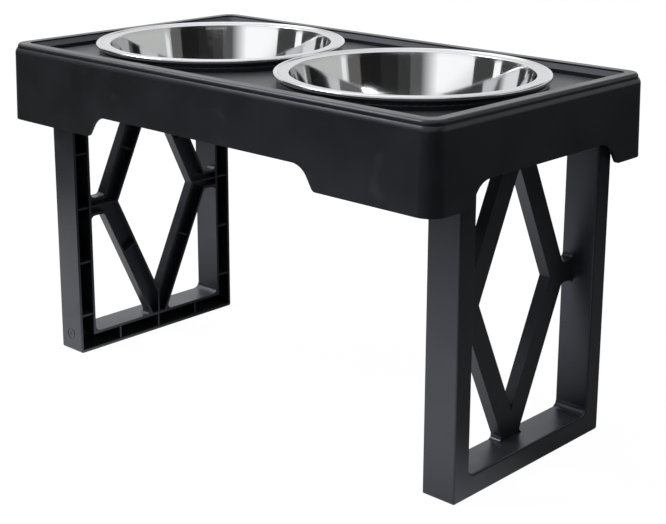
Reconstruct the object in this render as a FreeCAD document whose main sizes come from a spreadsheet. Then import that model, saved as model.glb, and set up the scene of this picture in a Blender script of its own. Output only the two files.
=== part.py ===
import FreeCAD
import Part
import Sketcher
import os
import re

# Adjustable double bowl stand: a moulded tray on two lattice leg panels, with two steel bowls
# X runs along the tray, Y across it and Z up, from the floor under the tray's centre

os.makedirs("parts", exist_ok=True)
doc = FreeCAD.newDocument("double_bowl_stand")
sheet = doc.addObject("Spreadsheet::Sheet", "Sizes")

# Driving sizes in millimetres, and shares that have no length
sizes = [
    # tray shell
    ("tray_length", 504.0),
    ("tray_width", 279.0),
    ("tray_height", 70.0),
    ("tray_corner_radius", 15.0),
    ("tray_wall", 3.0),
    ("draft_share", 0.022),
    ("rim_width", 11.5),
    ("rim_round", 2.0),
    ("rim_band_height", 4.5),
    ("rim_band_step", 1.5),
    ("shoulder_round", 1.2),
    ("recess_corner_radius", 7.0),
    ("recess_step", 1.5),
    ("recess_slope_drop", 4.0),
    ("recess_slope_run", 4.5),
    ("deck_drop", 9.0),
    # cut-outs that leave a foot at each corner of the skirt
    ("cutout_height", 19.0),
    ("side_foot_length", 122.3),
    ("end_foot_length", 49.3),
    ("cutout_slope_run", 12.0),
    ("arch_round", 19.0),
    ("foot_round", 5.0),
    # bowls
    ("bowl_side_margin", 8.0),
    ("bowl_end_margin", 5.6),
    ("bowl_gap", 1.6),
    ("bowl_flange_width", 13.0),
    ("bowl_bead_radius", 2.0),
    ("bowl_steel", 0.8),
    ("bowl_lip_round", 1.6),
    ("bowl_depth", 56.0),
    ("bowl_taper", 11.0),
    ("bowl_base_round", 20.0),
    # raised seats that carry the bowls' flanges
    ("seat_clearance", 2.2),
    ("seat_height", 9.3),
    ("seat_width", 5.0),
    ("seat_step_inset", 3.0),
    ("seat_step_height", 4.6),
    ("seat_round", 1.0),
    # leg panels
    ("leg_height", 287.0),
    ("leg_width", 196.4),
    ("leg_depth", 30.5),
    ("leg_inset", 7.0),
    ("leg_wall", 2.6),
    ("leg_corner_round", 2.0),
    ("leg_edge_round", 1.6),
    ("post_width", 18.3),
    ("rail_height", 18.1),
    ("window_round", 6.5),
    ("diamond_width_share", 0.593),
    ("diamond_height_share", 0.809),
    ("bowl_relief_width", 84.0),
    ("bowl_relief_depth", 8.5),
    ("bar_width", 19.4),
    ("bar_depth", 10.5),
    ("bar_wall", 2.4),
    ("stub_height", 18.0),
    ("lattice_round", 4.0),
    ("post_rib_pitch_share", 0.186),
    ("rib_thickness", 1.8),
    ("rib_setback", 1.0),
    ("mark_height", 17.0),
    ("mark_radius", 5.5),
    ("mark_line", 0.9),
    ("mark_depth", 0.4),
    ("mark_core_share", 0.25),
    # sockets under the deck
    ("socket_depth", 36.0),
    ("socket_wall", 2.5),
    ("socket_clearance", 0.4),
    ("socket_length", 38.0),
    ("stop_depth", 6.0),
    ("centre_rib_depth", 24.0),
    ("overrun", 1.0),
]
counts = [
    ("post_rib_count", 5),
    ("rail_rib_count", 3),
]
# Sizes worked out from the ones above
derived = [
    ("stand_height", "leg_height + stop_depth + tray_wall + deck_drop"),
    ("skirt_bottom", "stand_height - tray_height"),
    ("skirt_top", "stand_height - rim_band_height"),
    ("deck_top", "stand_height - deck_drop"),
    ("deck_under", "deck_top - tray_wall"),
    ("top_length", "tray_length - 2 * draft_share * tray_height"),
    ("top_width", "tray_width - 2 * draft_share * tray_height"),
    ("deck_half_length", "top_length / 2 - rim_width - recess_slope_run"),
    ("deck_half_width", "top_width / 2 - rim_width - recess_slope_run"),
    ("seat_top", "deck_top + seat_height"),
    ("reach_by_length", "(deck_half_length - bowl_end_margin - bowl_gap / 2) / 2"),
    ("reach_by_width", "deck_half_width - bowl_side_margin"),
    ("bowl_reach", "min(reach_by_length; reach_by_width)"),
    ("bowl_offset", "bowl_reach + bowl_gap / 2"),
    ("bowl_mouth_radius", "bowl_reach - bowl_flange_width"),
    ("bowl_flange_radius", "bowl_reach - bowl_bead_radius"),
    ("bowl_base_radius", "bowl_mouth_radius - bowl_taper"),
    ("seat_bore", "bowl_mouth_radius + seat_clearance"),
    ("seat_step_radius", "bowl_reach - seat_step_inset"),
    ("leg_outer", "tray_length / 2 - leg_inset"),
    ("leg_inner", "leg_outer - leg_depth"),
    ("window_half_width", "leg_width / 2 - post_width"),
    ("window_half_height", "leg_height / 2 - rail_height"),
    ("leg_centre", "leg_height / 2"),
    ("diamond_half_width", "window_half_width * diamond_width_share"),
    ("diamond_half_height", "window_half_height * diamond_height_share"),
    ("diamond_side", "sqrt(diamond_half_width ^ 2 + diamond_half_height ^ 2)"),
    ("diamond_reach", "diamond_half_width * diamond_half_height / diamond_side"),
    ("outer_share", "(diamond_reach + bar_width) / diamond_reach"),
    ("hollow_outer_share", "(diamond_reach + bar_width - bar_wall) / diamond_reach"),
    ("hollow_inner_share", "(diamond_reach + bar_wall) / diamond_reach"),
    ("middle_share", "(diamond_reach + bar_width / 2) / diamond_reach"),
]
names = {name for name, _ in sizes + counts + derived}


def linked(formula):
    """A formula in plain names, with each name pointing at its cell."""
    return re.sub(r"[a-z_]+", lambda m: "Sizes." + m[0] if m[0] in names else m[0], formula)


for row, (name, number) in enumerate(sizes + counts, start=1):
    sheet.set(f"A{row}", name)
    sheet.set(f"B{row}", str(number))
    sheet.setAlias(f"B{row}", name)
for row, (name, formula) in enumerate(derived, start=len(sizes + counts) + 1):
    sheet.set(f"A{row}", name)
    sheet.set(f"B{row}", "=" + formula)
    sheet.setAlias(f"B{row}", name)
doc.recompute()


def value(formula):
    """What a formula comes to with the sizes now in the sheet."""
    return float(sheet.evalExpression(linked(formula)))


def new_body(name):
    body = doc.addObject("PartDesign::Body", name)
    body.Label = name
    return body


def new_sketch(body, name, role, height="0"):
    """A sketch on one of the body's own origin planes, raised along that plane's normal."""
    sketch = body.newObject("Sketcher::SketchObject", name)
    plane = [feature for feature in body.Origin.OriginFeatures if feature.Role == role][0]
    sketch.AttachmentSupport = [(plane, "")]
    sketch.MapMode = "FlatFace"
    if height != "0":
        sketch.setExpression("AttachmentOffset.Base.z", linked(height))
    return sketch


def hold(sketch, kind, references, formula):
    """Add one dimension to a sketch and tie it to a formula."""
    index = sketch.addConstraint(Sketcher.Constraint(kind, *references, value(formula)))
    sketch.renameConstraint(index, f"{kind}{index}")
    sketch.setExpression(f"Constraints.{kind}{index}", linked(formula))


def draw_polygon(sketch, corners):
    """A closed outline of straight lines, with each corner held from the sketch's origin."""
    first = sketch.GeometryCount
    points = [FreeCAD.Vector(value(across), value(up), 0) for across, up in corners]
    for start, end in zip(points, points[1:] + points[:1]):
        sketch.addGeometry(Part.LineSegment(start, end), False)
    for step, (across, up) in enumerate(corners):
        line = first + step
        following = first + (step + 1) % len(corners)
        sketch.addConstraint(Sketcher.Constraint("Coincident", line, 2, following, 1))
        hold(sketch, "DistanceX", (-1, 1, line, 1), across)
        hold(sketch, "DistanceY", (-1, 1, line, 1), up)


def draw_rectangle(sketch, left, right, bottom, top):
    draw_polygon(sketch, [(left, bottom), (right, bottom), (right, top), (left, top)])


def draw_rounded_rectangle(sketch, half_length, half_width, radius):
    """A rectangle about the sketch's origin, with four equal round corners."""
    first = sketch.GeometryCount
    size = value(radius)
    quarters = [(1, 1, 0), (-1, 1, 90), (-1, -1, 180), (1, -1, 270)]
    reach_x = value(half_length) - size
    reach_y = value(half_width) - size
    for side_x, side_y, turn in quarters:
        centre = FreeCAD.Vector(side_x * reach_x, side_y * reach_y, 0)
        circle = Part.Circle(centre, FreeCAD.Vector(0, 0, 1), size)
        start = FreeCAD.Units.Quantity(f"{turn} deg").getValueAs("rad").Value
        end = FreeCAD.Units.Quantity(f"{turn + 90} deg").getValueAs("rad").Value
        sketch.addGeometry(Part.ArcOfCircle(circle, start, end), False)
    ends = [sketch.getPoint(first + step, place) for step in range(4) for place in (1, 2)]
    for step in range(4):
        start, end = ends[2 * step + 1], ends[(2 * step + 2) % 8]
        sketch.addGeometry(Part.LineSegment(start, end), False)
    for step, (side_x, side_y, _) in enumerate(quarters):
        arc, line, following = first + step, first + 4 + step, first + (step + 1) % 4
        sign_x, sign_y = ("" if side > 0 else "-1 * " for side in (side_x, side_y))
        hold(sketch, "DistanceX", (-1, 1, arc, 3), f"{sign_x}({half_length} - ({radius}))")
        hold(sketch, "DistanceY", (-1, 1, arc, 3), f"{sign_y}({half_width} - ({radius}))")
        hold(sketch, "Radius", (arc,), radius)
        level = "Horizontal" if side_x == side_y else "Vertical"
        upright = "Vertical" if side_x == side_y else "Horizontal"
        sketch.addConstraint(Sketcher.Constraint(level, arc, 3, arc, 1))
        sketch.addConstraint(Sketcher.Constraint(upright, arc, 3, arc, 2))
        sketch.addConstraint(Sketcher.Constraint("Coincident", line, 1, arc, 2))
        sketch.addConstraint(Sketcher.Constraint("Coincident", line, 2, following, 1))


def draw_circle(sketch, across, up, radius):
    index = sketch.GeometryCount
    centre = FreeCAD.Vector(value(across), value(up), 0)
    sketch.addGeometry(Part.Circle(centre, FreeCAD.Vector(0, 0, 1), value(radius)), False)
    hold(sketch, "DistanceX", (-1, 1, index, 3), across)
    hold(sketch, "DistanceY", (-1, 1, index, 3), up)
    hold(sketch, "Radius", (index,), radius)


def add_pad(body, name, sketch, length, reverse=False, taper="0"):
    """Raise a sketch; the taper is the share of the height by which its sides draw in."""
    pad = body.newObject("PartDesign::Pad", name)
    pad.Profile = sketch
    pad.Reversed = reverse
    pad.setExpression("Length", linked(length))
    if taper != "0":
        pad.setExpression("TaperAngle", linked(f"-1 * atan({taper})"))
    return finished(body, pad)


def add_pocket(body, name, sketch, length, reverse=False, both_ways=False, taper="0"):
    """Cut a sketch out of the body, and stop if it met no material."""
    before = body.Tip.Shape.Volume
    pocket = body.newObject("PartDesign::Pocket", name)
    pocket.Profile = sketch
    pocket.Reversed = reverse
    pocket.Midplane = both_ways
    pocket.setExpression("Length", linked(length))
    if taper != "0":
        pocket.setExpression("TaperAngle", linked(f"-1 * atan({taper})"))
    finished(body, pocket)
    if pocket.Shape.Volume > before * (1 - 1e-6):
        raise RuntimeError(f"{name} cuts nothing")
    return pocket


def add_fillet(body, name, edge_test, radius):
    """Round each edge of the body's last shape that passes the test."""
    base = body.Tip
    chosen = [f"Edge{n}" for n, edge in enumerate(base.Shape.Edges, start=1) if edge_test(edge)]
    if not chosen:
        raise RuntimeError(f"{name} finds no edge")
    fillet = body.newObject("PartDesign::Fillet", name)
    fillet.Base = (base, chosen)
    fillet.setExpression("Radius", linked(radius))
    return finished(body, fillet)


def finished(body, feature):
    """Recompute up to a feature, make it the body's tip and stop if it failed."""
    doc.recompute()
    body.Tip = feature
    if "Invalid" in feature.State or "Error" in feature.State or feature.Shape.isNull():
        raise RuntimeError(f"{feature.Name} failed")
    return feature


def near(first, second):
    return abs(first - second) < 1e-4 * value("tray_height")


def make_tray():
    body = new_body("tray")
    half_length, half_width = "tray_length / 2", "tray_width / 2"
    band_length = "(top_length / 2 - rim_band_step)"
    band_width = "(top_width / 2 - rim_band_step)"

    # skirt, drawn in towards the top, and the narrower band that ends in the rim
    foot = new_sketch(body, "skirt_foot", "XY_Plane", "skirt_bottom")
    draw_rounded_rectangle(foot, half_length, half_width, "tray_corner_radius")
    add_pad(body, "skirt", foot, "skirt_top - skirt_bottom", taper="draft_share")
    add_fillet(body, "shoulder", lambda e: near(e.BoundBox.ZMin, value("skirt_top")), "shoulder_round")
    band = new_sketch(body, "band_outline", "XY_Plane", "skirt_top")
    draw_rounded_rectangle(band, band_length, band_width, "tray_corner_radius - rim_band_step")
    add_pad(body, "rim_band", band, "rim_band_height")
    add_fillet(body, "rim_edge", lambda e: near(e.BoundBox.ZMin, value("stand_height")), "rim_round")

    # recess of the deck: a small step, a slope and a straight wall down to the deck
    rim_length = "(top_length / 2 - rim_width)"
    rim_width = "(top_width / 2 - rim_width)"
    slope_foot = "stand_height - recess_step - recess_slope_drop"
    step = new_sketch(body, "recess_step_outline", "XY_Plane", "stand_height")
    draw_rounded_rectangle(step, rim_length, rim_width, "recess_corner_radius")
    add_pocket(body, "recess_step_cut", step, "recess_step")
    slope = new_sketch(body, "recess_slope_outline", "XY_Plane", "stand_height - recess_step")
    draw_rounded_rectangle(slope, rim_length, rim_width, "recess_corner_radius")
    add_pocket(body, "recess_slope_cut", slope, "recess_slope_drop",
               taper="recess_slope_run / recess_slope_drop")
    floor = new_sketch(body, "deck_outline", "XY_Plane", slope_foot)
    draw_rounded_rectangle(floor, "deck_half_length", "deck_half_width",
                           "recess_corner_radius - recess_slope_run")
    add_pocket(body, "deck_cut", floor, "deck_drop - recess_step - recess_slope_drop")

    # stepped seats round the bowl openings
    base = new_sketch(body, "seat_step_outline", "XY_Plane", "deck_top")
    for side in ("", "-1 * "):
        draw_circle(base, f"{side}bowl_offset", "0", "seat_step_radius")
    add_pad(body, "seat_steps", base, "seat_step_height")
    ring = new_sketch(body, "seat_ring_outline", "XY_Plane", "deck_top")
    for side in ("", "-1 * "):
        draw_circle(ring, f"{side}bowl_offset", "0", "seat_bore + seat_width")
    add_pad(body, "seat_rings", ring, "seat_height")
    add_fillet(body, "seat_edges", is_seat_edge, "seat_round")

    # hollow underside, with the rim hollowed from below as well
    inside = new_sketch(body, "hollow_outline", "XY_Plane", "skirt_bottom")
    inside_radius = "tray_corner_radius - tray_wall"
    draw_rounded_rectangle(inside, f"{half_length} - tray_wall", f"{half_width} - tray_wall", inside_radius)
    add_pocket(body, "hollow", inside, "deck_under - skirt_bottom", reverse=True, taper="draft_share")
    for name, inset, roof in (
        ("rim_hollow", "rim_width - tray_wall", "stand_height - tray_wall"),
        ("wall_hollow", "rim_width + recess_slope_run - tray_wall", f"{slope_foot} - tray_wall"),
    ):
        groove = new_sketch(body, f"{name}_outline", "XY_Plane", "deck_under")
        for margin, radius in (
            ("rim_band_step + tray_wall", inside_radius),
            (inset, "recess_corner_radius"),
        ):
            draw_rounded_rectangle(
                groove, f"top_length / 2 - ({margin})", f"top_width / 2 - ({margin})", radius)
        add_pocket(body, name, groove, f"{roof} - deck_under", reverse=True)

    # bowl openings through deck and seats
    bore = new_sketch(body, "bore_outline", "XY_Plane", "seat_top + overrun")
    for side in ("", "-1 * "):
        draw_circle(bore, f"{side}bowl_offset", "0", "seat_bore")
    add_pocket(body, "bowl_bores", bore, "seat_top - deck_under + 2 * overrun")

    # arched cut-outs that leave the corner feet
    add_cutout(body, "side", "XZ_Plane", f"{half_length} - side_foot_length", "tray_width + 2 * overrun")
    add_cutout(body, "end", "YZ_Plane", f"{half_width} - end_foot_length", "tray_length + 2 * overrun")
    add_fillet(body, "foot_rounds", cutout_test("skirt_bottom"), "foot_round")
    add_fillet(body, "arch_rounds", cutout_test("skirt_bottom + cutout_height"), "arch_round")

    make_sockets(body)
    return body


def is_seat_edge(edge):
    """The upper outer edges of the seats and of the step round each of them."""
    if edge.Curve.TypeId != "Part::GeomCircle":
        return False
    height, radius = edge.CenterOfMass.z, edge.Curve.Radius
    step = near(radius, value("seat_step_radius")) and near(height, value("deck_top + seat_step_height"))
    ring = near(radius, value("seat_bore + seat_width")) and near(height, value("seat_top"))
    return step or ring


def add_cutout(body, name, plane, half_run, depth):
    """A wide opening in two opposite skirt walls, with sloping ends."""
    sketch = new_sketch(body, f"{name}_cutout_outline", plane)
    low, top = "skirt_bottom - overrun", "skirt_bottom + cutout_height"
    lean = "cutout_slope_run * (cutout_height + overrun) / cutout_height"
    foot = f"({half_run} + cutout_slope_run / 2 - cutout_slope_run + {lean})"
    head = f"({half_run} - cutout_slope_run / 2)"
    draw_polygon(sketch, [(f"-1 * {foot}", low), (foot, low), (head, top), (f"-1 * {head}", top)])
    return add_pocket(body, f"{name}_cutout", sketch, depth, both_ways=True)


def cutout_test(height):
    """A test for the short level edges through the skirt's wall at the ends of the cut-outs."""
    def test(edge):
        box = edge.BoundBox
        short = edge.Length < value("tray_wall") * 2 and len(edge.Vertexes) == 2
        return short and near(box.ZMin, value(height)) and near(box.ZMax, value(height))
    return test


def make_sockets(body):
    """Ribs under the deck that guide the four posts, the stops that they bear on, and a centre rib."""
    inner_face = "leg_inner - socket_clearance"
    post_side = "leg_width / 2 + socket_clearance"
    skirt_face = "tray_length / 2 - tray_wall - draft_share * (deck_under - skirt_bottom - socket_depth)"
    post_middle = "leg_width / 2 - post_width / 2"
    guides = new_sketch(body, "guide_outlines", "XY_Plane", "deck_under")
    stops = new_sketch(body, "stop_outlines", "XY_Plane", "deck_under")
    centre = new_sketch(body, "centre_rib_outline", "XY_Plane", "deck_under")
    for end in ("", "-1 * "):
        for side in ("", "-1 * "):
            # an L of two ribs behind and beside the post
            near_end = f"{end}({inner_face} - socket_wall)"
            far_end = f"{end}({inner_face})"
            reach = f"{end}({skirt_face} + tray_wall / 2)"
            start = f"{side}({post_side} + socket_wall - socket_length)"
            beside = f"{side}({post_side})"
            finish = f"{side}({post_side} + socket_wall)"
            draw_polygon(guides, [
                (near_end, start), (far_end, start), (far_end, beside),
                (reach, beside), (reach, finish), (near_end, finish)])
            # the rib on the skirt that takes up the gap outside the post
            outside = f"{end}(leg_outer + socket_clearance)"
            left = f"{side}({post_middle} - socket_wall / 2)"
            right = f"{side}({post_middle} + socket_wall / 2)"
            draw_rectangle(guides, outside, reach, left, right)
            within = f"{end}({inner_face} - socket_wall / 2)"
            draw_rectangle(stops, within, f"{end}(leg_outer)", left, right)
    add_pad(body, "post_guides", guides, "socket_depth", reverse=True)
    add_pad(body, "post_stops", stops, "stop_depth", reverse=True)
    width = "tray_width / 2 - tray_wall / 2 - draft_share * tray_height"
    draw_rectangle(centre, "-1 * socket_wall / 2", "socket_wall / 2", f"-1 * ({width})", width)
    add_pad(body, "centre_rib", centre, "centre_rib_depth", reverse=True)


def make_leg_panel(name, turned):
    """A moulded frame with a diamond lattice, hollow and ribbed on the side that faces inwards.

    The body's own X runs from the open inner side, at 0, to the smooth outer side. The top rail
    is shallower in the middle, where the bowl hangs close to it.
    """
    body = new_body(name)
    block = new_sketch(body, "block_outline", "YZ_Plane")
    draw_rectangle(block, "-1 * leg_width / 2", "leg_width / 2", "0", "leg_height")
    add_pad(body, "block", block, "leg_depth")
    add_fillet(body, "block_corners", along_depth("leg_depth"), "leg_corner_round")
    window = new_sketch(body, "window_outline", "YZ_Plane")
    draw_rectangle(window, "-1 * window_half_width", "window_half_width",
                   "rail_height", "leg_height - rail_height")
    add_pocket(body, "window", window, "leg_depth + overrun", reverse=True)
    add_fillet(body, "window_corners", is_window_corner, "window_round")
    add_fillet(body, "outer_edges", lambda e: near(e.BoundBox.XMin, value("leg_depth")), "leg_edge_round")

    add_lattice(body)
    hollow_frame(body)
    hollow_lattice(body)
    relief = new_sketch(body, "bowl_relief_outline", "YZ_Plane")
    draw_rectangle(relief, "-1 * bowl_relief_width / 2", "bowl_relief_width / 2",
                   "leg_height - rail_height + leg_wall", "leg_height + overrun")
    add_pocket(body, "bowl_relief", relief, "bowl_relief_depth", reverse=True)
    add_mark(body)

    end = "-1 * " if turned else ""
    body.setExpression("Placement.Base.x", linked(f"{end}leg_inner"))
    if turned:
        body.setExpression("Placement.Rotation.Angle", "180")
    return body


def along_depth(length):
    """A test for straight edges that run the whole depth of a moulding."""
    def test(edge):
        return near(edge.BoundBox.XLength, value(length)) and near(edge.Length, value(length))
    return test


def is_window_corner(edge):
    middle = edge.CenterOfMass
    inside = near(abs(middle.y), value("window_half_width"))
    return along_depth("leg_depth")(edge) and inside


def add_lattice(body):
    """The diamond ring and the two stubs that tie it to the posts."""
    ring = new_sketch(body, "diamond_outline", "YZ_Plane")
    draw_polygon(ring, [
        ("diamond_half_width", "leg_centre"), ("0", "leg_centre + diamond_half_height"),
        ("-1 * diamond_half_width", "leg_centre"), ("0", "leg_centre - diamond_half_height")])
    # the outer outline ends inside the rails, before it comes to its tips
    reach = "(leg_centre - rail_height / 2)"
    outer_width = "diamond_half_width * outer_share"
    end_width = f"{outer_width} * (1 - {reach} / (diamond_half_height * outer_share))"
    draw_polygon(ring, [
        (outer_width, "leg_centre"),
        (end_width, f"leg_centre + {reach}"), (f"-1 * {end_width}", f"leg_centre + {reach}"),
        (f"-1 * {outer_width}", "leg_centre"),
        (f"-1 * {end_width}", f"leg_centre - {reach}"), (end_width, f"leg_centre - {reach}")])
    add_pad(body, "diamond", ring, "bar_depth")
    stubs = new_sketch(body, "stub_outline", "YZ_Plane")
    for side in ("", "-1 * "):
        draw_rectangle(
            stubs, f"{side}diamond_half_width * middle_share", f"{side}(window_half_width + leg_wall / 2)",
            "leg_centre - stub_height / 2", "leg_centre + stub_height / 2")
    add_pad(body, "stubs", stubs, "bar_depth")
    add_fillet(body, "lattice_corners", is_lattice_corner, "lattice_round")


def is_lattice_corner(edge):
    """The inside corners where the diamond and its stubs meet each other and the frame."""
    if not along_depth("bar_depth")(edge):
        return False
    middle = edge.CenterOfMass
    across, up = abs(middle.y), abs(middle.z - value("leg_centre"))
    at_stub = near(up, value("stub_height / 2")) and across > value("diamond_half_width")
    at_rail = near(up, value("window_half_height")) and across < value("window_half_width / 2")
    return at_stub or at_rail


def hollow_frame(body):
    """The channel that runs round posts and rails, with thin ribs across it."""
    channel = new_sketch(body, "channel_outline", "YZ_Plane")
    draw_rectangle(channel, "-1 * (leg_width / 2 - leg_wall)", "leg_width / 2 - leg_wall",
                   "leg_wall", "leg_height - leg_wall")
    draw_rectangle(channel, "-1 * (window_half_width + leg_wall)", "window_half_width + leg_wall",
                   "rail_height - leg_wall", "leg_height - rail_height + leg_wall")
    add_pocket(body, "channel", channel, "leg_depth - leg_wall", reverse=True)

    rib_reach = "leg_depth - leg_wall / 2 - rib_setback"
    rib_run = "leg_height * post_rib_pitch_share * (post_rib_count - 1)"
    first = f"leg_centre - {rib_run} / 2"
    lowest = new_sketch(body, "post_rib_outline", "YZ_Plane", "rib_setback")
    for side in ("", "-1 * "):
        draw_rectangle(
            lowest, f"{side}(window_half_width + leg_wall / 2)", f"{side}(leg_width / 2 - leg_wall / 2)",
            f"{first} - rib_thickness / 2", f"{first} + rib_thickness / 2")
    rib = add_pad(body, "post_rib", lowest, rib_reach)
    ribs = body.newObject("PartDesign::LinearPattern", "post_ribs")
    ribs.Originals = [rib]
    ribs.Direction = (lowest, ["V_Axis"])
    ribs.setExpression("Length", linked(rib_run))
    ribs.setExpression("Occurrences", linked("post_rib_count"))
    finished(body, ribs)

    across = new_sketch(body, "rail_rib_outline", "YZ_Plane", "rib_setback")
    rib_number = int(value("rail_rib_count"))
    for number in range(1, rib_number + 1):
        place = f"leg_width * ({number} / (rail_rib_count + 1) - 1 / 2)"
        for low in ("leg_wall / 2", "leg_height - rail_height + leg_wall / 2"):
            draw_rectangle(
                across, f"{place} - rib_thickness / 2", f"{place} + rib_thickness / 2",
                low, f"{low} + rail_height - leg_wall")
    add_pad(body, "rail_ribs", across, rib_reach)


def hollow_lattice(body):
    """The channels in the bars and stubs, with a rib across each bar and one through the stubs."""
    hollow = new_sketch(body, "bar_hollow_outline", "YZ_Plane")
    outer_width = "diamond_half_width * hollow_outer_share"
    outer_height = "diamond_half_height * hollow_outer_share"
    inner_width = "diamond_half_width * hollow_inner_share"
    inner_height = "diamond_half_height * hollow_inner_share"
    middle = "rib_thickness / 2"
    tip = f"{outer_width} * (1 - window_half_height / ({outer_height}))"
    notch = f"{inner_height} * (1 - {middle} / ({inner_width}))"
    for side in ("", "-1 * "):
        draw_polygon(hollow, [
            (f"{side}{middle}", "leg_centre + window_half_height"),
            (f"{side}{tip}", "leg_centre + window_half_height"),
            (f"{side}{outer_width}", "leg_centre"),
            (f"{side}{tip}", "leg_centre - window_half_height"),
            (f"{side}{middle}", "leg_centre - window_half_height"),
            (f"{side}{middle}", f"leg_centre - {notch}"),
            (f"{side}{inner_width}", "leg_centre"),
            (f"{side}{middle}", f"leg_centre + {notch}")])
    add_pocket(body, "bar_hollows", hollow, "bar_depth - bar_wall", reverse=True)
    stub = new_sketch(body, "stub_hollow_outline", "YZ_Plane")
    for side in ("", "-1 * "):
        draw_rectangle(
            stub, f"{side}diamond_half_width * middle_share", f"{side}window_half_width",
            "leg_centre - stub_height / 2 + bar_wall", "leg_centre + stub_height / 2 - bar_wall")
    add_pocket(body, "stub_hollows", stub, "bar_depth - bar_wall", reverse=True)

    ribs = new_sketch(body, "bar_rib_outline", "YZ_Plane", "rib_setback")
    normal_y, normal_z = "diamond_half_height / diamond_side", "diamond_half_width / diamond_side"
    long_reach, short_reach = "(bar_width / 2 - bar_wall / 2)", "(rib_thickness / 2)"
    for side in ("", "-1 * "):
        for way in ("+", "-"):
            corners = []
            for along, across in ((1, 1), (1, -1), (-1, -1), (-1, 1)):
                y = (f"{side}(diamond_half_width * (middle_share - 1 / 2)"
                     f" + {across} * {long_reach} * {normal_y} - {along} * {short_reach} * {normal_z})")
                z = (f"leg_centre {way} (diamond_half_height / 2"
                     f" + {across} * {long_reach} * {normal_z} + {along} * {short_reach} * {normal_y})")
                corners.append((y, z))
            draw_polygon(ribs, corners)
        draw_rectangle(
            ribs, f"{side}(diamond_half_width + bar_wall / 2)", f"{side}(window_half_width + leg_wall / 2)",
            "leg_centre - rib_thickness / 2", "leg_centre + rib_thickness / 2")
    add_pad(body, "bar_ribs", ribs, "bar_depth - bar_wall / 2 - rib_setback")


def add_mark(body):
    """A shallow mould insert mark, two rings low on one post's outer side."""
    mark = new_sketch(body, "mark_outline", "XZ_Plane", "-1 * leg_width / 2")
    for radius in ("mark_radius", "mark_radius - mark_line", "mark_radius * mark_core_share"):
        draw_circle(mark, "leg_depth / 2", "mark_height", radius)
    add_pocket(body, "mould_mark", mark, "mark_depth", reverse=True)


def make_bowl(name, side):
    """A pressed steel bowl with a flat flange that ends in a rolled bead."""
    body = new_body(name)
    slope = "(bowl_mouth_radius - bowl_base_radius) / bowl_depth"
    # how much further out the under side of the leaning wall is at each end
    gap = f"bowl_steel * (sqrt(1 + ({slope}) ^ 2) - {slope})"
    outer_mouth, outer_base = f"bowl_mouth_radius + {gap}", f"bowl_base_radius + {gap}"
    inner_floor, outer_floor = "bowl_steel - bowl_depth", "-1 * bowl_depth"
    profile = new_sketch(body, "steel_outline", "XZ_Plane")
    draw_polygon(profile, [
        ("0", inner_floor),
        ("bowl_base_radius", inner_floor),
        ("bowl_mouth_radius", "bowl_steel"),
        ("bowl_flange_radius", "bowl_steel"),
        ("bowl_flange_radius", "0"),
        (outer_mouth, "0"),
        (outer_base, outer_floor),
        ("0", outer_floor)])
    shell = body.newObject("PartDesign::Revolution", "shell")
    shell.Profile = profile
    shell.ReferenceAxis = (profile, ["V_Axis"])
    shell.Angle = 360
    finished(body, shell)
    for name, radius, height, size in (
        ("lip_inside", "bowl_mouth_radius", "bowl_steel", "bowl_lip_round + bowl_steel"),
        ("lip_under", outer_mouth, "0", "bowl_lip_round"),
        ("base_inside", "bowl_base_radius", inner_floor, "bowl_base_round"),
        ("base_under", outer_base, outer_floor, "bowl_base_round + bowl_steel"),
    ):
        add_fillet(body, name, ring_test(radius, height), size)
    bead = new_sketch(body, "bead_outline", "XZ_Plane")
    draw_circle(bead, "bowl_flange_radius", "0", "bowl_bead_radius")
    roll = body.newObject("PartDesign::Revolution", "bead")
    roll.Profile = bead
    roll.ReferenceAxis = (bead, ["V_Axis"])
    roll.Angle = 360
    finished(body, roll)
    body.setExpression("Placement.Base.x", linked(f"{side}bowl_offset"))
    body.setExpression("Placement.Base.z", linked("seat_top"))
    return body


def ring_test(radius, height):
    """A test for a full circular edge of the given radius at the given height."""
    def test(edge):
        if edge.Curve.TypeId != "Part::GeomCircle":
            return False
        return near(edge.Curve.Radius, value(radius)) and near(edge.CenterOfMass.z, value(height))
    return test


bodies = [
    make_tray(),
    make_leg_panel("leg_panel_left", turned=True),
    make_leg_panel("leg_panel_right", turned=False),
    make_bowl("bowl_left", "-1 * "),
    make_bowl("bowl_right", ""),
]
doc.recompute()

for thing in doc.Objects:
    if "Invalid" in thing.State or "Error" in thing.State:
        raise RuntimeError(f"{thing.Name} failed")
for body in bodies:
    if body.Shape.isNull() or not body.Shape.isValid() or len(body.Shape.Solids) != 1:
        raise RuntimeError(f"{body.Label} is not one sound solid")
for body in bodies:
    body.Shape.exportStep(f"parts/{body.Label}.step")
    box = body.Shape.BoundBox
    print(f"{body.Label}: {box.XLength:.1f} x {box.YLength:.1f} x {box.ZLength:.1f} mm, "
          f"volume {body.Shape.Volume / 1000:.1f} cm3")
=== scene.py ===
import math

import bmesh
import bpy
from mathutils import Euler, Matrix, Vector


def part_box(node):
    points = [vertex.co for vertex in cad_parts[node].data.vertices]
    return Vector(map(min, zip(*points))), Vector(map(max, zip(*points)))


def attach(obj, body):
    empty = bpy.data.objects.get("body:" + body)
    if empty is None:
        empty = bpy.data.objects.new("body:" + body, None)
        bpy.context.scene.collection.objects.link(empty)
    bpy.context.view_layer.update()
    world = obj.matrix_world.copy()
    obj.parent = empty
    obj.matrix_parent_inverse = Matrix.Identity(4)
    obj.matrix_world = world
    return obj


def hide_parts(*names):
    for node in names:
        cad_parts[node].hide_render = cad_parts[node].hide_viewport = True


# Adjustable double bowl stand: two steel bowls in a black tray on two lattice leg panels
# X runs along the tray, Y across it and Z up, all in metres

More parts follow.
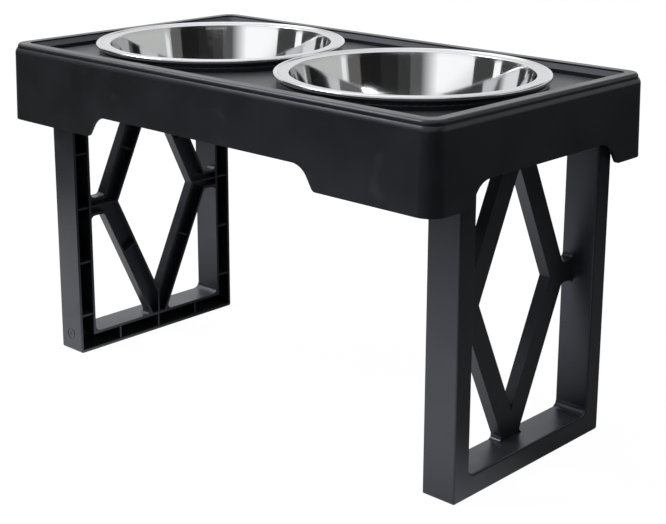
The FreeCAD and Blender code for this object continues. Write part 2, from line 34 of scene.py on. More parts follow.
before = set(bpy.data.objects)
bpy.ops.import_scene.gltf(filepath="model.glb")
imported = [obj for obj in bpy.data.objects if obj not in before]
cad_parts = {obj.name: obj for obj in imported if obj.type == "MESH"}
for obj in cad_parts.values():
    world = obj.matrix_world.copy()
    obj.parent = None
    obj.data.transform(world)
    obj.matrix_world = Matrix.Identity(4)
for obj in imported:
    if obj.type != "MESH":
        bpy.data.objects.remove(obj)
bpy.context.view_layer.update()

# a Mix node's sockets for two colours and their mixture, whose names its other sockets share
firstColour = 6
secondColour = 7
mixedColour = 2


# a colour written as sRGB, as Blender's linear red, green, blue and alpha
def toLinear(hexColour):
    linear = []
    for start in (1, 3, 5):
        share = int(hexColour[start:start + 2], 16) / 255
        linear.append(share / 12.92 if share <= 0.04045 else ((share + 0.055) / 1.055) ** 2.4)
    return (*linear, 1.0)


# a node with its settings, each of whose inputs is given a value or a socket to link from
def addNode(tree, kind, inputs=None, **settings):
    node = tree.nodes.new(kind)
    for name, setting in settings.items():
        setattr(node, name, setting)
    for socket, content in (inputs or {}).items():
        if isinstance(content, bpy.types.NodeSocket):
            tree.links.new(content, node.inputs[socket])
        else:
            node.inputs[socket].default_value = content
    return node


def newMaterial(name):
    material = bpy.data.materials.new(name)
    material.use_nodes = True
    tree = material.node_tree
    tree.nodes.clear()
    return material, tree


def addObject(name, data):
    piece = bpy.data.objects.new(name, data)
    bpy.context.scene.collection.objects.link(piece)
    return piece


# replace an object's mesh with what its modifiers make of it
def bakeModifiers(piece):
    bpy.context.view_layer.update()
    shown = piece.evaluated_get(bpy.context.evaluated_depsgraph_get())
    mesh = bpy.data.meshes.new_from_object(shown)
    piece.modifiers.clear()
    piece.data = mesh
    return mesh


# shared by the plastics of the tray and the leg panels; a size is that of a pattern's largest features
plastic = {
    "ior": 1.49,
    "tint": "#e6eeff",
    "cloud": {"size": 0.045, "detail": 3.0},
    "grain": {"size": 0.0006, "detail": 2.0},
    "swell": {"size": 0.070, "detail": 1.0},
    "cloudFrom": 0.3,
    "cloudTo": 0.7,
    "paleShare": 0.5,
    "grainHeight": 0.000006,
    "swellHeight": 0.00008,
    "scuffSize": 0.0035,
    "scuffDetail": 4.0,
    "scuffStretch": 9.0,
    "scuffTurn": math.radians(25),
    "scuffFrom": 0.66,
    "scuffTo": 0.74,
    "scuffRoughness": 0.08,
    "dust": "#4b4c50",
    "dustShare": 0.5,
    "dustFrom": 0.7,
    "dustTo": 0.97,
}


# moulded black polypropylene: a fine spark-eroded grain, slow sink marks, small pale scuffs, and
# dust on what faces up
def makePlastic(settings):
    material, tree = newMaterial(settings["material"])
    base, pale, dust = toLinear(settings["base"]), toLinear(settings["pale"]), toLinear(plastic["dust"])
    place = addNode(tree, "ShaderNodeTexCoord").outputs["Object"]
    cloud, grain, swell = [
        addNode(tree, "ShaderNodeTexNoise", {"Vector": place, "Scale": 1 / pattern["size"],
                                             "Detail": pattern["detail"]}).outputs["Fac"]
        for pattern in (plastic["cloud"], plastic["grain"], plastic["swell"])]
    stretched = addNode(tree, "ShaderNodeMapping",
                        {"Vector": place, "Scale": (1.0, plastic["scuffStretch"], 1.0),
                         "Rotation": (0.0, 0.0, plastic["scuffTurn"])}).outputs["Vector"]
    scuff = addNode(tree, "ShaderNodeTexNoise",
                    {"Vector": stretched, "Scale": 1 / (plastic["scuffSize"] * plastic["scuffStretch"]),
                     "Detail": plastic["scuffDetail"]}).outputs["Fac"]
    worn = addNode(tree, "ShaderNodeMapRange", {"Value": scuff, "From Min": plastic["scuffFrom"],
                                                "From Max": plastic["scuffTo"]}).outputs["Result"]
    clouded = {"Value": cloud, "From Min": plastic["cloudFrom"], "From Max": plastic["cloudTo"]}
    faded = addNode(tree, "ShaderNodeMapRange",
                    {**clouded, "To Max": plastic["paleShare"]}).outputs["Result"]
    rough = addNode(tree, "ShaderNodeMapRange", {**clouded, "To Min": settings["roughLow"],
                                                 "To Max": settings["roughHigh"]}).outputs["Result"]
    roughness = addNode(tree, "ShaderNodeMath", {0: worn, 1: plastic["scuffRoughness"], 2: rough},
                        operation="MULTIPLY_ADD").outputs[0]
    facing = addNode(tree, "ShaderNodeNewGeometry").outputs["Normal"]
    upward = addNode(tree, "ShaderNodeSeparateXYZ", {0: facing}).outputs["Z"]
    dusty = addNode(tree, "ShaderNodeMapRange",
                    {"Value": upward, "From Min": plastic["dustFrom"], "From Max": plastic["dustTo"],
                     "To Max": plastic["dustShare"]}).outputs["Result"]
    shown = base
    for share, colour in ((faded, pale), (worn, pale), (dusty, dust)):
        shown = addNode(tree, "ShaderNodeMix", {"Factor": share, firstColour: shown, secondColour: colour},
                        data_type="RGBA").outputs[mixedColour]
    sunken = addNode(tree, "ShaderNodeBump",
                     {"Height": swell, "Distance": plastic["swellHeight"]}).outputs["Normal"]
    normal = addNode(tree, "ShaderNodeBump",
                     {"Height": grain, "Distance": plastic["grainHeight"] * settings["grainShare"],
                      "Normal": sunken}).outputs["Normal"]
    shader = addNode(tree, "ShaderNodeBsdfPrincipled",
                     {"Base Color": shown, "Roughness": roughness, "Normal": normal,
                      "IOR": plastic["ior"], "Specular IOR Level": settings["specular"],
                      "Specular Tint": toLinear(plastic["tint"]), "Sheen Weight": settings["sheen"]})
    addNode(tree, "ShaderNodeOutputMaterial", {"Surface": shader.outputs["BSDF"]})
    return material


# how the meshes of the tray and the leg panels are merged, and their hard edges rounded
moulding = {
    "mergeDistance": 0.00001,
    "flatAngle": math.radians(0.6),
    "cutDistance": 0.000001,
    "edgeRound": 0.0004,
    "edgeSegments": 2,
    "edgeAngle": math.radians(40),
    "sharpAngle": math.radians(38),
}
# the shoulder is the skirt's top edge, and the rim stands up inside it
tray = {
    "node": "tray",
    "body": "tray",
    "slot": "tray_plastic",
    "material": "satin black tray polypropylene",
    "base": "#101115",
    "pale": "#191a1f",
    "roughLow": 0.34,
    "roughHigh": 0.42,
    "grainShare": 0.6,
    "specular": 0.55,
    "sheen": 0.06,
    "cornerRadius": 0.015,
    "outerBand": 0.003,  # the shoulder's points lie in this band
    "shoulderTop": 0.3005,
    "shoulderRound": 0.0012,  # the solid's own rounding
    "shoulderDepth": 0.0040,
    "shoulderStep": 0.00145,  # how far in its top goes
    "shoulderPower": 1.7,
    "shoulderRows": 9,
    "rimInset": 0.00304,  # from the tray's outline to the rim's
    "rimCorner": 0.0135,
    "rimRound": 0.002,  # the solid's own rounding
    "rimSoft": 0.0034,
    "rimRows": 4,
    "rimSlack": 0.0001,
}
legs = {
    "nodes": {"leg_panel_left": "left_leg", "leg_panel_right": "right_leg"},
    "slot": "leg_plastic",
    "material": "matte black leg polypropylene",
    "base": "#111216",
    "pale": "#1a1b20",
    "roughLow": 0.32,
    "roughHigh": 0.42,
    "grainShare": 1.4,
    "specular": 0.75,
    "sheen": 0.0,
}


# edges all through the moulding at one height
def cutLevel(work, level):
    everything = work.verts[:] + work.edges[:] + work.faces[:]
    bmesh.ops.bisect_plane(work, geom=everything, dist=moulding["cutDistance"],
                           plane_co=(0.0, 0.0, level), plane_no=(0.0, 0.0, 1.0))


# how far a point lies inside a rectangle with round corners, and the way out to its outline
def insetAndWayOut(point, halfX, halfY, radius):
    alongX = max(abs(point.x) - halfX + radius, 0.0)
    alongY = max(abs(point.y) - halfY + radius, 0.0)
    out = Vector((math.copysign(alongX, point.x), math.copysign(alongY, point.y), 0.0))
    return radius - out.length, out.normalized()


# the skirt's top edge, whose small rounding is drawn out downwards into a soft shoulder
def softenShoulder(work, high):
    top, depth, rounding = tray["shoulderTop"], tray["shoulderDepth"], tray["shoulderRound"]
    for row in range(tray["shoulderRows"]):
        level = top - depth + depth * row / tray["shoulderRows"]
        if level < top - rounding:
            cutLevel(work, level)
    moved = 0
    for vert in work.verts:
        inset, wayOut = insetAndWayOut(vert.co, high[0], high[1], tray["cornerRadius"])
        rise = vert.co.z - top + depth
        if inset > tray["outerBand"] or not 0 < rise < depth + moulding["mergeDistance"]:
            continue
        wanted = tray["shoulderStep"] * (rise / depth) ** tray["shoulderPower"]
        above = min(max(rise - depth + rounding, 0.0), rounding)
        present = rounding - math.sqrt(rounding ** 2 - above ** 2)
        if wanted > present:
            vert.co -= wayOut * (wanted - present)
            moved += 1
    print("shoulder points", moved)


# the rim's outer rounding, made wider than the solid's
def softenRim(work, high):
    soft, rounding = tray["rimSoft"], tray["rimRound"]
    halfX, halfY = high[0] - tray["rimInset"], high[1] - tray["rimInset"]
    start = high[2] - soft
    for row in range(1, tray["rimRows"]):
        cutLevel(work, start + (soft - rounding) * row / tray["rimRows"])
    moved = 0
    for vert in work.verts:
        inset, wayOut = insetAndWayOut(vert.co, halfX, halfY, tray["rimCorner"])
        rise = vert.co.z - start
        if rise <= 0 or not -tray["rimSlack"] < inset < rounding + tray["rimSlack"]:
            continue
        wanted = soft - math.sqrt(max(soft ** 2 - rise ** 2, 0.0))
        if wanted > inset:
            vert.co -= wayOut * (wanted - inset)
            moved += 1
    print("rim points", moved)


# a merged copy of a moulding with every hard edge slightly rounded
def finishMoulding(name, nodeName, body, material):
    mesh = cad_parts[nodeName].data.copy()
    work = bmesh.new()
    work.from_mesh(mesh)
    bmesh.ops.remove_doubles(work, verts=work.verts, dist=moulding["mergeDistance"])
    bmesh.ops.dissolve_limit(work, angle_limit=moulding["flatAngle"], verts=work.verts, edges=work.edges)
    bmesh.ops.recalc_face_normals(work, faces=work.faces)
    if nodeName == tray["node"]:
        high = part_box(nodeName)[1]
        softenShoulder(work, high)
        softenRim(work, high)
    work.to_mesh(mesh)
    work.free()
    piece = addObject(name, mesh)
    bevel = piece.modifiers.new("edge round", "BEVEL")
    bevel.width = moulding["edgeRound"]
    bevel.segments = moulding["edgeSegments"]
    bevel.limit_method = "ANGLE"
    bevel.angle_limit = moulding["edgeAngle"]
    mesh = bakeModifiers(piece)
    mesh.materials.clear()
    mesh.materials.append(material)
    mesh.shade_smooth()
    mesh.set_sharp_from_angle(angle=moulding["sharpAngle"])
    # large flat faces keep their own normals, so that the roundings beside them shade evenly
    weighted = piece.modifiers.new("flat faces first", "WEIGHTED_NORMAL")
    weighted.keep_sharp = True
    bakeModifiers(piece)
    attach(piece, body)
    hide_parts(nodeName)


trayPlastic = makePlastic(tray)
legPlastic = makePlastic(legs)
finishMoulding("tray_shell", tray["node"], tray["body"], trayPlastic)
print("tray done")
for nodeName, bodyName in legs["nodes"].items():
    finishMoulding(nodeName + "_moulding", nodeName, bodyName, legPlastic)
print("leg panels done")

bowls = {
    "nodes": {"bowl_left": "left_bowl", "bowl_right": "right_bowl"},
    "slot": "bowl_steel",
    "steel": 0.0008,
    "beadRadius": 0.002,
    "flangeWidth": 0.013,
    "taper": 0.011,
    "lipRound": 0.0003,
    "baseRound": 0.020,
    "segments": 192,
    "cornerSteps": 14,
    "beadSteps": 40,
    "sectionStep": 0.004,
    "weld": 0.00002,
}
# the flange starts within flangeBlend of the mouth, and the bead between beadFrom and beadTo of the edge
steel = {
    "colour": "#d9dadc",
    "satinColour": "#c9cbce",
    "mirrorRoughness": 0.055,
    "satinRoughness": 0.30,
    "beadRoughness": 0.15,
    "flangeBlend": 0.001,
    "beadFrom": 0.0022,
    "beadTo": 0.0014,
    "waveSize": 0.055,
    "waveDetail": 0.0,
    "waveHeight": 0.00016,
    "spinPitch": 0.0007,
    "spinDetail": 1.0,
    "spinHeight": 0.000012,
    "spotSize": 0.009,
    "spotDetail": 4.0,
    "spotFrom": 0.5,
    "spotTo": 0.75,
    "spotRoughness": 0.03,
}


# pressed stainless steel: polished inside, spun satin on the flange, brighter on the rolled bead
def makeSteel(name, centre, mouthRadius, flangeRadius):
    material, tree = newMaterial(name)
    place = addNode(tree, "ShaderNodeTexCoord").outputs["Object"]
    centred = addNode(tree, "ShaderNodeMapping", {"Vector": place, "Location": -centre}).outputs["Vector"]
    flat = addNode(tree, "ShaderNodeVectorMath", {0: centred, 1: (1.0, 1.0, 0.0)},
                   operation="MULTIPLY").outputs["Vector"]
    radius = addNode(tree, "ShaderNodeVectorMath", {0: flat}, operation="LENGTH").outputs["Value"]
    onFlange = addNode(tree, "ShaderNodeMapRange",
                       {"Value": radius, "From Min": mouthRadius - steel["flangeBlend"],
                        "From Max": mouthRadius + steel["flangeBlend"]}).outputs["Result"]
    onBead = addNode(tree, "ShaderNodeMapRange",
                     {"Value": radius, "From Min": flangeRadius - steel["beadFrom"],
                      "From Max": flangeRadius - steel["beadTo"]}).outputs["Result"]
    satin = addNode(tree, "ShaderNodeMapRange", {"Value": onFlange, "To Min": steel["mirrorRoughness"],
                                                 "To Max": steel["satinRoughness"]}).outputs["Result"]
    rolled = addNode(tree, "ShaderNodeMix", {"Factor": onBead, "A": satin, "B": steel["beadRoughness"]},
                     data_type="FLOAT").outputs["Result"]
    spots = addNode(tree, "ShaderNodeTexNoise", {"Vector": centred, "Scale": 1 / steel["spotSize"],
                                                 "Detail": steel["spotDetail"]}).outputs["Fac"]
    marked = addNode(tree, "ShaderNodeMapRange",
                     {"Value": spots, "From Min": steel["spotFrom"], "From Max": steel["spotTo"],
                      "To Max": steel["spotRoughness"]}).outputs["Result"]
    roughness = addNode(tree, "ShaderNodeMath", {0: rolled, 1: marked}, operation="ADD").outputs[0]
    spin = addNode(tree, "ShaderNodeTexNoise",
                   {"W": radius, "Scale": 1 / steel["spinPitch"], "Detail": steel["spinDetail"]},
                   noise_dimensions="1D").outputs["Fac"]
    spun = addNode(tree, "ShaderNodeMath", {0: spin, 1: onFlange}, operation="MULTIPLY").outputs[0]
    shown = addNode(tree, "ShaderNodeMix",
                    {"Factor": onFlange, firstColour: toLinear(steel["colour"]),
                     secondColour: toLinear(steel["satinColour"])}, data_type="RGBA").outputs[mixedColour]
    wave = addNode(tree, "ShaderNodeTexNoise", {"Vector": centred, "Scale": 1 / steel["waveSize"],
                                                "Detail": steel["waveDetail"]}).outputs["Fac"]
    waved = addNode(tree, "ShaderNodeBump",
                    {"Height": wave, "Distance": steel["waveHeight"]}).outputs["Normal"]
    normal = addNode(tree, "ShaderNodeBump", {"Height": spun, "Distance": steel["spinHeight"],
                                              "Normal": waved}).outputs["Normal"]
    shader = addNode(tree, "ShaderNodeBsdfPrincipled",
                     {"Base Color": shown, "Roughness": roughness, "Normal": normal, "Metallic": 1.0})
    addNode(tree, "ShaderNodeOutputMaterial", {"Surface": shader.outputs["BSDF"]})
    return material


# points along a line whose corners, each (x, z, radius), are rounded
def roundedLine(corners):
    points = []
    for index, (x, z, radius) in enumerate(corners):
        corner = Vector((x, z))
        if radius == 0:
            points.append(corner)
            continue
        back = (Vector(corners[index - 1][:2]) - corner).normalized()
        ahead = (Vector(corners[index + 1][:2]) - corner).normalized()
        half = back.angle(ahead) / 2
        centre = corner + (back + ahead).normalized() * radius / math.sin(half)
        start = corner + back * radius / math.tan(half) - centre
        finish = corner + ahead * radius / math.tan(half) - centre
        for step in range(bowls["cornerSteps"] + 1):
            way = start.lerp(finish, step / bowls["cornerSteps"]).normalized()
            points.append(centre + way * radius)
    return points


# extra points wherever two neighbours lie further apart than the step, so that straight walls
# shade as straight
def splitLong(points, step):
    split = [points[0]]
    for last, point in zip(points, points[1:]):
        count = math.ceil((point - last).length / step)
        split += [last.lerp(point, part / count) for part in range(1, count)]
        split.append(point)
    return split


# the bowl's section from the middle of its floor round the bead and back underneath, as (r, z)
def bowlSection(mouthRadius, flangeRadius, depth):
    thickness, bead = bowls["steel"], bowls["beadRadius"]
    slope = bowls["taper"] / depth
    gap = thickness * (math.sqrt(1 + slope ** 2) - slope)
    baseRadius = mouthRadius - bowls["taper"]
    inside = roundedLine([
        (0.0, thickness - depth, 0),
        (baseRadius, thickness - depth, bowls["baseRound"]),
        (mouthRadius, thickness, bowls["lipRound"] + thickness),
        (flangeRadius - bead, thickness, 0)])[:-1]
    start = math.pi - math.asin(thickness / bead)
    rolled = []
    for step in range(bowls["beadSteps"] + 1):
        angle = start - step / bowls["beadSteps"] * (start + math.pi)
        rolled.append(Vector((flangeRadius + bead * math.cos(angle), bead * math.sin(angle))))
    under = roundedLine([
        (flangeRadius - bead, 0.0, 0),
        (mouthRadius + gap, 0.0, bowls["lipRound"]),
        (baseRadius + gap, -depth, bowls["baseRound"] + thickness),
        (0.0, -depth, 0)])[1:]
    return splitLong(inside + rolled + under, bowls["sectionStep"])


# a node group that turns a line of points, given as radius and height, round the Z axis
def makeLathe(name):
    tree = bpy.data.node_groups.new(name, "GeometryNodeTree")
    for label, kind in (("Section", "NodeSocketGeometry"), ("Segments", "NodeSocketInt"),
                        ("Centre", "NodeSocketVector"), ("Weld", "NodeSocketFloat"),
                        ("Material", "NodeSocketMaterial")):
        tree.interface.new_socket(label, in_out="INPUT", socket_type=kind)
    tree.interface.new_socket("Geometry", in_out="OUTPUT", socket_type="NodeSocketGeometry")
    given = addNode(tree, "NodeGroupInput").outputs
    section, segments = given["Section"], given["Segments"]
    count = addNode(tree, "GeometryNodeAttributeDomainSize", {"Geometry": section},
                    component="MESH").outputs["Point Count"]
    # one row of the grid for each step of the turn, with the section's points along it
    rows = addNode(tree, "ShaderNodeMath", {0: segments, 1: 1.0}, operation="ADD").outputs[0]
    grid = addNode(tree, "GeometryNodeMeshGrid", {"Vertices X": rows, "Vertices Y": count})
    index = addNode(tree, "GeometryNodeInputIndex").outputs[0]
    along = addNode(tree, "ShaderNodeMath", {0: index, 1: count}, operation="MODULO").outputs[0]
    passed = addNode(tree, "ShaderNodeMath", {0: index, 1: count}, operation="DIVIDE").outputs[0]
    row = addNode(tree, "ShaderNodeMath", {0: passed}, operation="FLOOR").outputs[0]
    turn = addNode(tree, "ShaderNodeMath", {0: row, 1: segments}, operation="DIVIDE").outputs[0]
    angle = addNode(tree, "ShaderNodeMath", {0: turn, 1: math.tau}, operation="MULTIPLY").outputs[0]
    place = addNode(tree, "GeometryNodeInputPosition").outputs[0]
    sampled = addNode(tree, "GeometryNodeSampleIndex", {"Geometry": section, "Value": place, "Index": along},
                      data_type="FLOAT_VECTOR", domain="POINT", clamp=False).outputs["Value"]
    parts = addNode(tree, "ShaderNodeSeparateXYZ", {0: sampled}).outputs
    sine = addNode(tree, "ShaderNodeMath", {0: angle}, operation="SINE").outputs[0]
    cosine = addNode(tree, "ShaderNodeMath", {0: angle}, operation="COSINE").outputs[0]
    x = addNode(tree, "ShaderNodeMath", {0: parts["X"], 1: cosine}, operation="MULTIPLY").outputs[0]
    y = addNode(tree, "ShaderNodeMath", {0: parts["X"], 1: sine}, operation="MULTIPLY").outputs[0]
    turned = addNode(tree, "ShaderNodeCombineXYZ", {"X": x, "Y": y, "Z": parts["Z"]}).outputs[0]
    placed = addNode(tree, "ShaderNodeVectorMath", {0: turned, 1: given["Centre"]},
                     operation="ADD").outputs["Vector"]
    shaped = addNode(tree, "GeometryNodeSetPosition", {"Geometry": grid.outputs["Mesh"], "Position": placed})
    welded = addNode(tree, "GeometryNodeMergeByDistance",
                     {"Geometry": shaped.outputs["Geometry"], "Distance": given["Weld"]})
    smooth = addNode(tree, "GeometryNodeSetShadeSmooth", {"Geometry": welded.outputs["Geometry"]})
    real = addNode(tree, "GeometryNodeRealizeInstances", {"Geometry": smooth.outputs["Geometry"]})
    painted = addNode(tree, "GeometryNodeSetMaterial",
                      {"Geometry": real.outputs["Geometry"], "Material": given["Material"]})
    addNode(tree, "NodeGroupOutput", {"Geometry": painted.outputs["Geometry"]})
    return tree


def setInputs(modifier, values):
    for item in modifier.node_group.interface.items_tree:
        if item.in_out == "INPUT" and item.name in values:
            modifier[item.identifier] = values[item.name]


# one bowl, turned from its section on the axis of its node
def makeBowl(name, nodeName, body, lathe):
    low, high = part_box(nodeName)
    bead = bowls["beadRadius"]
    centre = Vector(((low[0] + high[0]) / 2, (low[1] + high[1]) / 2, high[2] - bead))
    reach = (high[0] - low[0]) / 2
    mouthRadius, flangeRadius = reach - bowls["flangeWidth"], reach - bead
    points = bowlSection(mouthRadius, flangeRadius, centre.z - low[2])
    mesh = bpy.data.meshes.new(name)
    mesh.from_pydata([(point.x, 0.0, point.y) for point in points], [], [])
    piece = addObject(name, mesh)
    material = makeSteel(f"stainless steel {name}", centre, mouthRadius, flangeRadius)
    turning = piece.modifiers.new("lathe", "NODES")
    turning.node_group = lathe
    setInputs(turning, {"Segments": bowls["segments"], "Centre": centre, "Weld": bowls["weld"],
                        "Material": material})
    mesh = bakeModifiers(piece)
    work = bmesh.new()
    work.from_mesh(mesh)
    bmesh.ops.recalc_face_normals(work, faces=work.faces)
    work.to_mesh(mesh)
    work.free()
    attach(piece, body)
    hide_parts(nodeName)


lathe = makeLathe("turned bowl")
for nodeName, bodyName in bowls["nodes"].items():
    makeBowl(nodeName + "_pressing", nodeName, bodyName, lathe)
print("bowls done")


# 1 for camera, mirror and glass rays, and 0 for the rays that light a surface
def seenDirectly(tree):
    path = addNode(tree, "ShaderNodeLightPath").outputs
    first = addNode(tree, "ShaderNodeMath", {0: path["Is Camera Ray"], 1: path["Is Glossy Ray"]},
                    operation="MAXIMUM").outputs[0]
    return addNode(tree, "ShaderNodeMath", {0: first, 1: path["Is Transmission Ray"]},
                   operation="MAXIMUM").outputs[0]


# mirrored, the floor is a painted pool of light, bright within brightReach of brightPlace, and painted shade
# beyond dimReach, where distances along X count by alongShare only
paper = {
    "size": 16.0,
    "level": -0.0003,
    "colour": "#f4f4f4",
    "shadowShare": 0.08,
    "glow": 1.06,
    "brightPlace": (-0.2, -0.3),
    "alongShare": 0.4,
    "brightReach": 0.20,
    "dimReach": 0.37,
    "brightMirror": 1.35,
    "dimMirror": 0.15,
}


# a wide pale floor that shows as white and keeps a faint shadow, and can be seen through from below
def makeFloor():
    half, level = paper["size"] / 2, paper["level"]
    corners = [(-half, -half, level), (half, -half, level), (half, half, level), (-half, half, level)]
    mesh = bpy.data.meshes.new("studio_floor")
    mesh.from_pydata(corners, [], [(0, 1, 2, 3)])
    floor = addObject("studio_floor", mesh)
    material, tree = newMaterial("white paper floor")
    matte = addNode(tree, "ShaderNodeBsdfDiffuse", {"Color": toLinear(paper["colour"])})
    place = addNode(tree, "ShaderNodeTexCoord").outputs["Object"]
    pulled = addNode(tree, "ShaderNodeVectorMath", {0: place, 1: (*paper["brightPlace"], 0.0)},
                     operation="SUBTRACT").outputs["Vector"]
    scaled = addNode(tree, "ShaderNodeVectorMath", {0: pulled, 1: (paper["alongShare"], 1.0, 1.0)},
                     operation="MULTIPLY").outputs["Vector"]
    away = addNode(tree, "ShaderNodeVectorMath", {0: scaled}, operation="LENGTH").outputs["Value"]
    # painted light for reflections only: a glowing pool in front of the stand that fades to painted shade
    # beyond it
    mirrored = addNode(tree, "ShaderNodeMapRange",
                       {"Value": away, "From Min": paper["brightReach"], "From Max": paper["dimReach"],
                        "To Min": paper["brightMirror"], "To Max": paper["dimMirror"]}).outputs["Result"]
    glossy = addNode(tree, "ShaderNodeLightPath").outputs["Is Glossy Ray"]
    strength = addNode(tree, "ShaderNodeMix", {"Factor": glossy, "A": paper["glow"], "B": mirrored},
                       data_type="FLOAT").outputs["Result"]
    glow = addNode(tree, "ShaderNodeEmission", {"Color": (1.0, 1.0, 1.0, 1.0), "Strength": strength})
    share = addNode(tree, "ShaderNodeMath", {0: seenDirectly(tree), 1: 1 - paper["shadowShare"]},
                    operation="MULTIPLY").outputs[0]
    mixed = addNode(tree, "ShaderNodeMixShader", {0: share, 1: matte.outputs[0], 2: glow.outputs[0]})
    below = addNode(tree, "ShaderNodeNewGeometry").outputs["Backfacing"]
    clear = addNode(tree, "ShaderNodeBsdfTransparent")
    shown = addNode(tree, "ShaderNodeMixShader", {0: below, 1: mixed.outputs[0], 2: clear.outputs[0]})
    addNode(tree, "ShaderNodeOutputMaterial", {"Surface": shown.outputs[0]})
    mesh.materials.append(material)


# how strongly the white world lights a surface, beside the 1.0 at which it is seen
world = {"fill": 0.30}


def makeWorld():
    white = bpy.data.worlds.new("white studio")
    bpy.context.scene.world = white
    white.use_nodes = True
    tree = white.node_tree
    tree.nodes.clear()
    strength = addNode(tree, "ShaderNodeMapRange",
                       {"Value": seenDirectly(tree), "To Min": world["fill"]}).outputs["Result"]
    glow = addNode(tree, "ShaderNodeBackground", {"Color": (1.0, 1.0, 1.0, 1.0), "Strength": strength})
    addNode(tree, "ShaderNodeOutputWorld", {"Surface": glow.outputs[0]})


# glowing cards round the stand, no lamps, that show in reflections only and so paint pale and dark
# reflections onto the steel and the plastic: angles in degrees from +X towards +Y, heights, distance from
# the middle, and how bright each is; a card can glow with a share of that at its foot and at its last angle
cards = {
    "low_left": {"from": -180, "to": -112, "low": 0.0, "high": 0.32, "radius": 0.8, "shade": "#141414"},
    "low_front": {"from": -112, "to": -46, "low": 0.0, "high": 0.32, "radius": 0.8, "shade": "#141414"},
    "low_side": {"from": -46, "to": 110, "low": 0.0, "high": 0.32, "radius": 0.8, "shade": "#262626"},
    "dark_left": {"from": -180, "to": -112, "low": 0.3, "high": 1.6, "radius": 2.6, "shade": "#404040"},
    "high_left": {"from": -168, "to": -125, "low": 1.75, "high": 2.6, "radius": 2.6, "shade": "#ffffff"},
    "left_streak": {"from": -145, "to": -136, "low": 0.3, "high": 0.68, "radius": 2.5, "shade": "#ffffff"},
    "softbox": {"from": -112, "to": -57, "low": 0.3, "high": 1.3, "radius": 2.6, "shade": "#ffffff",
                "footShare": 0.6, "endShare": 0.12},
    "softbox_edge": {"from": -57, "to": -46, "low": 0.3, "high": 1.3, "radius": 2.6, "shade": "#555555"},
    "dark_corner": {"from": -46, "to": -34, "low": 0.3, "high": 1.3, "radius": 2.6, "shade": "#363636"},
    "dark_middle": {"from": -34, "to": -17, "low": 0.3, "high": 1.3, "radius": 2.6, "shade": "#262626"},
    "dark_right": {"from": -17, "to": 4, "low": 0.3, "high": 1.3, "radius": 2.6, "shade": "#1c1c1c"},
    "strip_high": {"from": -50, "to": -27, "low": 0.98, "high": 1.0, "radius": 2.5, "shade": "#ffffff"},
    "grey_right": {"from": 4, "to": 17, "low": 0.3, "high": 1.3, "radius": 2.6, "shade": "#5e5d5b"},
    "right_streak": {"from": 19, "to": 24, "low": 0.3, "high": 0.8, "radius": 2.5, "shade": "#e8e8e8"},
    "pale_back": {"from": 17, "to": 95, "low": 0.3, "high": 1.0, "radius": 2.6, "shade": "#b8b9b6"},
    "high_right": {"from": -20, "to": 100, "low": 1.3, "high": 2.1, "radius": 2.7, "shade": "#484848"},
    "high_front": {"from": -130, "to": -72, "low": 1.42, "high": 2.2, "radius": 2.7, "shade": "#707070"},
}
# the foot's share holds up to footLow and is gone at footHigh, and the end's comes in over endTurn
cardLight = {
    "glow": 1.35,
    "steps": 24,
    "footLow": 0.66,
    "footHigh": 0.79,
    "endTurn": math.radians(17),
}


# a card's strength: a rise with height times a fall over the last part of its angle. Both are flat on
# most cards, but a plain number there changes how Cycles samples them and lightens the skirt a little
def cardStrength(tree, settings, finish):
    glow = cardLight["glow"]
    place = addNode(tree, "ShaderNodeTexCoord").outputs["Object"]
    parts = addNode(tree, "ShaderNodeSeparateXYZ", {0: place}).outputs
    rising = addNode(tree, "ShaderNodeMapRange",
                     {"Value": parts["Z"],
                      "From Min": cardLight["footLow"], "From Max": cardLight["footHigh"],
                      "To Min": glow * settings.get("footShare", 1.0), "To Max": glow}).outputs["Result"]
    angle = addNode(tree, "ShaderNodeMath", {0: parts["Y"], 1: parts["X"]}, operation="ARCTAN2").outputs[0]
    ending = addNode(tree, "ShaderNodeMapRange",
                     {"Value": angle, "From Min": finish - cardLight["endTurn"], "From Max": finish,
                      "To Min": 1.0, "To Max": settings.get("endShare", 1.0)}).outputs["Result"]
    return addNode(tree, "ShaderNodeMath", {0: rising, 1: ending}, operation="MULTIPLY").outputs[0]


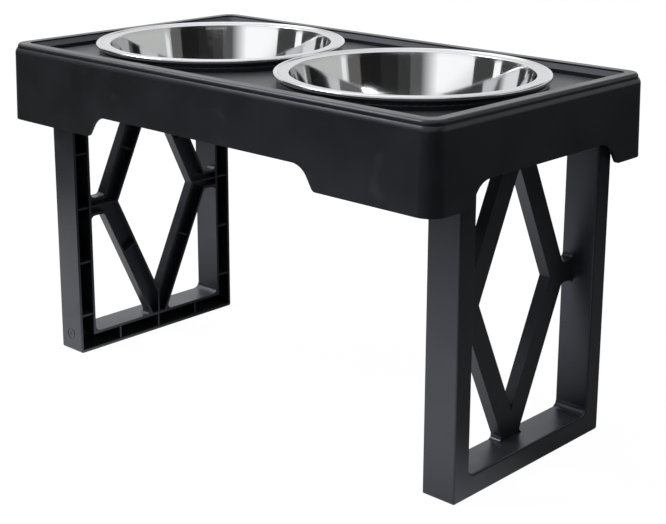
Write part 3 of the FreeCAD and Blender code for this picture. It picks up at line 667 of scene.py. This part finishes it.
# a curved card on its stretch of the circle
def makeCard(name, settings):
    start, finish = math.radians(settings["from"]), math.radians(settings["to"])
    points, faces = [], []
    for step in range(cardLight["steps"] + 1):
        angle = start + (finish - start) * step / cardLight["steps"]
        x, y = settings["radius"] * math.cos(angle), settings["radius"] * math.sin(angle)
        points += [(x, y, settings["low"]), (x, y, settings["high"])]
        if step:
            corner = 2 * step
            faces.append((corner - 2, corner - 1, corner + 1, corner))
    mesh = bpy.data.meshes.new(name)
    mesh.from_pydata(points, [], faces)
    card = addObject(name, mesh)
    material, tree = newMaterial(name + "_card")
    glow = addNode(tree, "ShaderNodeEmission", {"Color": toLinear(settings["shade"]),
                                                "Strength": cardStrength(tree, settings, finish)})
    addNode(tree, "ShaderNodeOutputMaterial", {"Surface": glow.outputs[0]})
    mesh.materials.append(material)
    card.visible_camera = False
    card.visible_diffuse = False
    card.visible_shadow = False


# width and height of each lamp, its place, what it is aimed at, and its power in watts
lamps = {
    "overhead": {"size": (2.0, 2.0), "place": (-0.9, 0.2, 2.1), "aim": (0.0, 0.0, 0.2), "power": 9.0},
    "front": {"size": (1.0, 0.6), "place": (-1.25, -1.15, 1.75), "aim": (0.0, 0.0, 0.2), "power": 24.0},
}


def makeLamp(name, settings):
    data = bpy.data.lights.new(name, "AREA")
    data.shape = "RECTANGLE"
    data.size, data.size_y = settings["size"]
    data.energy = settings["power"]
    lamp = addObject(name, data)
    lamp.location = settings["place"]
    aim = Vector(settings["aim"]) - lamp.location
    lamp.rotation_euler = aim.to_track_quat("-Z", "Y").to_euler()


makeFloor()
makeWorld()
for cardName, cardSettings in cards.items():
    makeCard(cardName, cardSettings)
for lampName, lampSettings in lamps.items():
    makeLamp(lampName + " lamp", lampSettings)
print("studio done")

# turns in degrees, lens and sensor in millimetres
camera = {
    "place": (0.858793, -0.890490, 0.513418),
    "turn": (75.5270, -0.1952, 43.1120),
    "lens": 77.863,
    "sensor": 36.0,
    "shiftY": -0.1231,
}
cameraData = bpy.data.cameras.new("camera")
cameraData.sensor_width = camera["sensor"]
cameraData.lens = camera["lens"]
cameraData.shift_y = camera["shiftY"]
cameraObject = addObject("camera", cameraData)
cameraObject.location = camera["place"]
cameraObject.rotation_euler = Euler([math.radians(angle) for angle in camera["turn"]])
bpy.context.scene.camera = cameraObject
bpy.context.scene.view_settings.view_transform = "Standard"
print("camera done")
